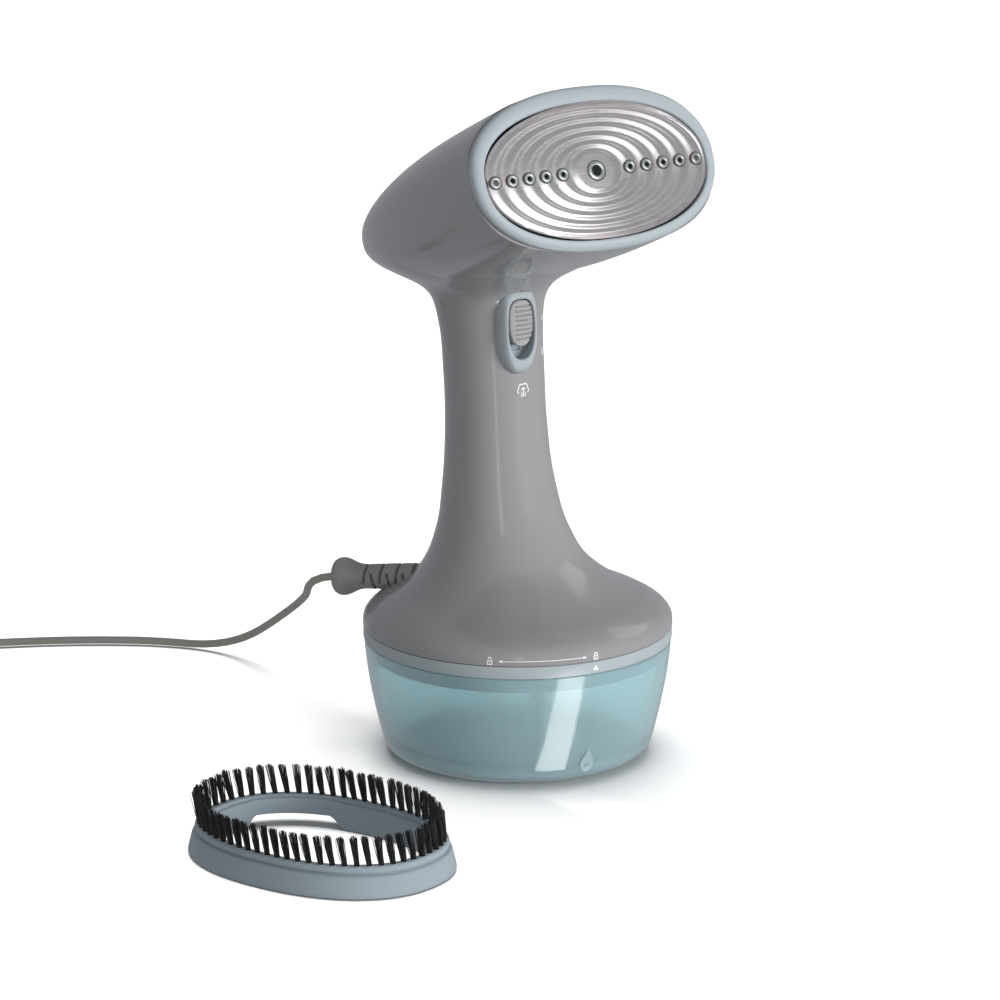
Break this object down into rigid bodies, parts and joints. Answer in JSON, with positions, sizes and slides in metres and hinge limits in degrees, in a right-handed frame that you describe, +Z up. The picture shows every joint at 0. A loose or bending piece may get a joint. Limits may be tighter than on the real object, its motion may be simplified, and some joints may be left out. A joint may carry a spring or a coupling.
{
  "type": "handheld garment steamer",
  "caption": "Handheld garment steamer with oval steam face, waisted neck, twist-off water tank, slide-and-press trigger, mains cord and loose brush ring.",
  "frame": {"origin": "centre of the tank foot, on the surface that the steamer stands on", "axes": "+Z up; the steam face and the trigger look towards -Y; +X is to the right of someone who faces the steam face"},
  "size_m": [0.3021, 0.4406, 0.2917],
  "materials": {
    "grey_shell": "glossy warm-grey moulded housing",
    "pale_blue_trim": "satin pale blue-grey moulding",
    "bright_steel": "satin stainless steel",
    "cast_alloy": "as-cast aluminium",
    "teal_tank": "clear teal-tinted moulding",
    "grey_pad": "satin mid-grey moulding",
    "silicone": "milky silicone rubber",
    "dark_plastic": "dark moulded plastic",
    "copper_winding": "enamelled copper winding",
    "zinc_screw": "zinc-plated steel",
    "relief_grey": "olive-grey flexible moulding",
    "cord_grey": "satin olive-grey cord jacket",
    "bristle_black": "black nylon bristle",
    "brass": "plated brass"
  },
  "bodies": {
    "steamer": {"base_plate": "pale_blue_trim", "base_screw_1": "zinc_screw", "base_screw_2": "zinc_screw", "base_screw_3": "zinc_screw", "boiler_cover": "bright_steel", "boiler_screw_left": "zinc_screw", "boiler_screw_right": "zinc_screw", "centre_nozzle": "bright_steel", "cord_clamp": "dark_plastic", "cord_coil": "cord_grey", "cover_screw_1": "zinc_screw", "cover_screw_2": "zinc_screw", "cover_screw_3": "zinc_screw", "face_bezel": "pale_blue_trim", "front_shell": "grey_shell", "heating_element": "cast_alloy", "inlet_hose": "silicone", "mains_cord": "cord_grey", "nozzle_left_1": "bright_steel", "nozzle_left_2": "bright_steel", "nozzle_left_3": "bright_steel", "nozzle_left_4": "bright_steel", "nozzle_left_5": "bright_steel", "nozzle_right_1": "bright_steel", "nozzle_right_2": "bright_steel", "nozzle_right_3": "bright_steel", "nozzle_right_4": "bright_steel", "nozzle_right_5": "bright_steel", "outlet_hose": "silicone", "pickup_filter": "pale_blue_trim", "pickup_hose": "silicone", "plate_gasket": "silicone", "plug_blade_narrow": "brass", "plug_blade_wide": "brass", "plug_body": "cord_grey", "plug_sleeve": "cord_grey", "pump_body": "dark_plastic", "pump_coil": "copper_winding", "pump_inlet": "dark_plastic", "pump_spring": "bright_steel", "rear_cover": "grey_shell", "steam_chamber": "cast_alloy", "steam_plate": "bright_steel", "steam_switch": "dark_plastic", "strain_relief": "relief_grey", "tank_seal": "silicone", "terminal_block": "dark_plastic", "thermostat": "dark_plastic", "trigger_bezel": "pale_blue_trim"},
    "tank": {"tank": "teal_tank", "tank_collar": "pale_blue_trim"},
    "trigger_lock": {"trigger_lock_slider": "dark_plastic", "trigger_spring": "bright_steel"},
    "trigger": {"trigger": "grey_pad"},
    "switch_plunger": {"switch_plunger": "grey_pad"},
    "pump_piston": {"pump_piston": "bright_steel"},
    "brush": {"brush_frame": "pale_blue_trim", "bristle_ring": "bristle_black", "brush_clip_left": "pale_blue_trim", "brush_clip_right": "pale_blue_trim"}
  },
  "joints": [
    {"name": "tank_twist", "type": "hinge", "parent": "steamer", "child": "tank", "pos_m": [0, 0, 0], "axis": [0, 0, 1], "range_deg": [-41, 0]},
    {"name": "trigger_lock_slide", "type": "slide", "parent": "steamer", "child": "trigger_lock", "axis": [0, -0.0698, -0.9976], "range_m": [0, 0.005]},
    {"name": "trigger_press", "type": "slide", "parent": "trigger_lock", "child": "trigger", "axis": [0, 0.9976, -0.0698], "range_m": [0, 0.0025], "stiffness_N_per_m": 400, "deforming": ["trigger_spring"]},
    {"name": "switch_plunge", "type": "slide", "parent": "steamer", "child": "switch_plunger", "axis": [0, 0.9976, -0.0698], "range_m": [0, 0.0025]},
    {"name": "pump_stroke", "type": "slide", "parent": "steamer", "child": "pump_piston", "axis": [0, 0, 1], "range_m": [0, 0.003], "stiffness_N_per_m": 300, "deforming": ["pump_spring"]},
    {"name": "brush_lift", "type": "slide", "parent": "steamer", "child": "brush", "axis": [0, 0, 1], "range_m": [0, 0.15]}
  ],
  "couplings": [
    {"joint": "switch_plunge", "follows": "trigger_press", "ratio": 1}
  ]
}
